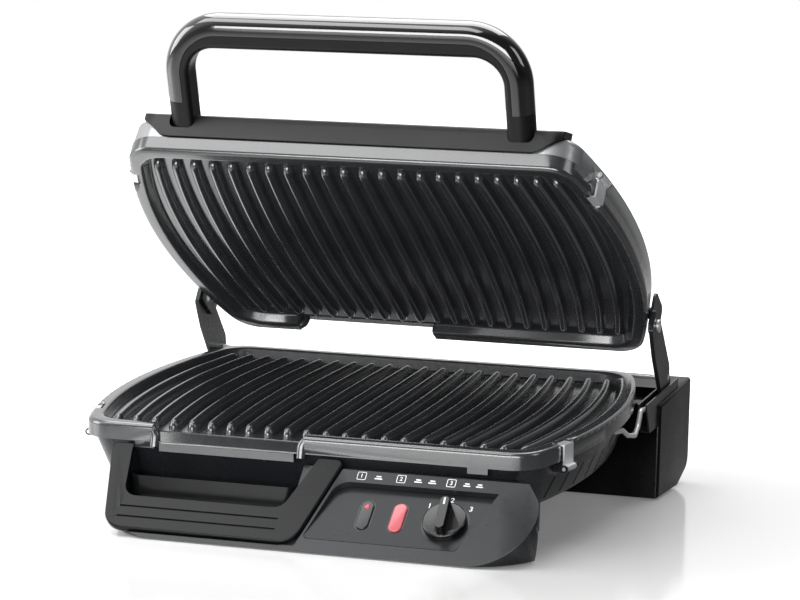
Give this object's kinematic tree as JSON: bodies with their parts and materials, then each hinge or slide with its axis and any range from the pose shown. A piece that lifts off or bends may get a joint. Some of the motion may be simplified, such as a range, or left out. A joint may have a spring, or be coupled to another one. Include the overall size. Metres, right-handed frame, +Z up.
{
  "type": "contact grill",
  "caption": "Countertop contact grill with two ribbed plates, a floating hinged lid with a loop handle, a pull-out drip tray and a sloping control panel, shown half open.",
  "frame": {"origin": "middle of the footprint, on the table", "axes": "+X to the user's right, +Y from the front panel to the hinge block, +Z up"},
  "size_m": [0.338, 0.3734, 0.3239],
  "materials": {
    "plate_coating": "dark grainy non-stick coating, satin",
    "housing_grey": "metallic dark grey paint, semi-matte",
    "block_black": "fine-grained moulded black",
    "cover_silver": "silver-grey paint, semi-gloss",
    "grip_gloss": "polished black",
    "handle_black": "fine-grained moulded dark grey",
    "tray_black": "satin moulded black",
    "panel_black": "smooth dark face",
    "knob_black": "satin, with a white pointer line",
    "lamp_red": "tinted lens, lit",
    "lamp_dark": "smoked lens",
    "chrome_wire": "bright plated",
    "hinge_steel": "zinc-plated sheet",
    "reflector_alu": "bright rolled sheet",
    "heater_steel": "heat-tinted tube",
    "liner_black": "moulded frame",
    "foot_rubber": "matte"
  },
  "bodies": {
    "base": {"lower_tub": "housing_grey", "front_stand": "housing_grey", "control_panel": "panel_black", "power_lamp": "lamp_dark", "ready_lamp": "lamp_red", "thermostat": "liner_black", "rear_block": "block_black", "cord_gland": "block_black", "foot_front_left": "foot_rubber", "foot_front_right": "foot_rubber", "foot_rear_left": "foot_rubber", "foot_rear_right": "foot_rubber", "lower_reflector": "reflector_alu", "lower_heater": "heater_steel", "hinge_channel_left": "hinge_steel", "hinge_channel_right": "hinge_steel", "hinge_pin_left": "chrome_wire", "hinge_pin_right": "chrome_wire", "wire_stay_left": "chrome_wire", "wire_stay_right": "chrome_wire"},
    "arms": {"hinge_arm_left": "hinge_steel", "hinge_arm_right": "hinge_steel", "cross_rod": "chrome_wire"},
    "lid": {"lid_cover": "cover_silver", "lid_liner": "liner_black", "handle_base": "handle_black", "handle_core": "handle_black", "handle_grip": "grip_gloss", "lid_lug_left": "hinge_steel", "lid_lug_right": "hinge_steel", "float_pin_left": "chrome_wire", "float_pin_right": "chrome_wire", "upper_reflector": "reflector_alu", "upper_heater": "heater_steel"},
    "knob": {"thermostat_knob": "knob_black"},
    "tray": {"drip_tray": "tray_black"},
    "lower_grill_plate": {"lower_plate": "plate_coating"},
    "upper_grill_plate": {"upper_plate": "plate_coating"},
    "lower_latch_left": {"lower_clip_left": "chrome_wire"},
    "lower_latch_right": {"lower_clip_right": "chrome_wire"},
    "upper_latch_left": {"upper_clip_left": "chrome_wire"},
    "upper_latch_right": {"upper_clip_right": "chrome_wire"}
  },
  "joints": [
    {"name": "lid_hinge", "type": "hinge", "parent": "base", "child": "arms", "pos_m": [0, 0.12754, 0.06377], "axis": [-1, 0, 0], "range_deg": [-38, 65]},
    {"name": "lid_float", "type": "hinge", "parent": "arms", "child": "lid", "pos_m": [0, 0.094, 0.11953], "axis": [1, 0, 0], "range_deg": [0, 12]},
    {"name": "knob_turn", "type": "hinge", "parent": "base", "child": "knob", "pos_m": [0.1002, -0.16476, 0.02177], "axis": [0, -0.6542, 0.7563], "range_deg": [-50, 95]},
    {"name": "tray_slide", "type": "slide", "parent": "base", "child": "tray", "axis": [0, -1, 0], "range_m": [0, 0.12]},
    {"name": "lower_plate_lift", "type": "slide", "parent": "base", "child": "lower_grill_plate", "axis": [0, -0.0872, 0.9962], "range_m": [0, 0.01]},
    {"name": "upper_plate_drop", "type": "slide", "parent": "lid", "child": "upper_grill_plate", "axis": [0, -0.5446, -0.8387], "range_m": [0, 0.01]},
    {"name": "lower_clip_left_swing", "type": "hinge", "parent": "base", "child": "lower_latch_left", "pos_m": [-0.16029, -0.10442, 0.05201], "axis": [0.2408, -0.9669, -0.0846], "range_deg": [0, 90]},
    {"name": "lower_clip_right_swing", "type": "hinge", "parent": "base", "child": "lower_latch_right", "pos_m": [0.16029, -0.10442, 0.05201], "axis": [0.2408, 0.9669, 0.0846], "range_deg": [0, 90]},
    {"name": "upper_clip_left_swing", "type": "hinge", "parent": "lid", "child": "upper_latch_left", "pos_m": [-0.16029, -0.04478, 0.22457], "axis": [-0.2408, 0.814, -0.5286], "range_deg": [0, 90]},
    {"name": "upper_clip_right_swing", "type": "hinge", "parent": "lid", "child": "upper_latch_right", "pos_m": [0.16029, -0.04478, 0.22457], "axis": [-0.2408, -0.814, 0.5286], "range_deg": [0, 90]}
  ],
  "couplings": [
    {"joint": "lower_clip_left_swing", "follows": "lower_plate_lift", "rad_per_m": 157},
    {"joint": "lower_clip_right_swing", "follows": "lower_plate_lift", "rad_per_m": 157},
    {"joint": "upper_clip_left_swing", "follows": "upper_plate_drop", "rad_per_m": 157},
    {"joint": "upper_clip_right_swing", "follows": "upper_plate_drop", "rad_per_m": 157}
  ]
}
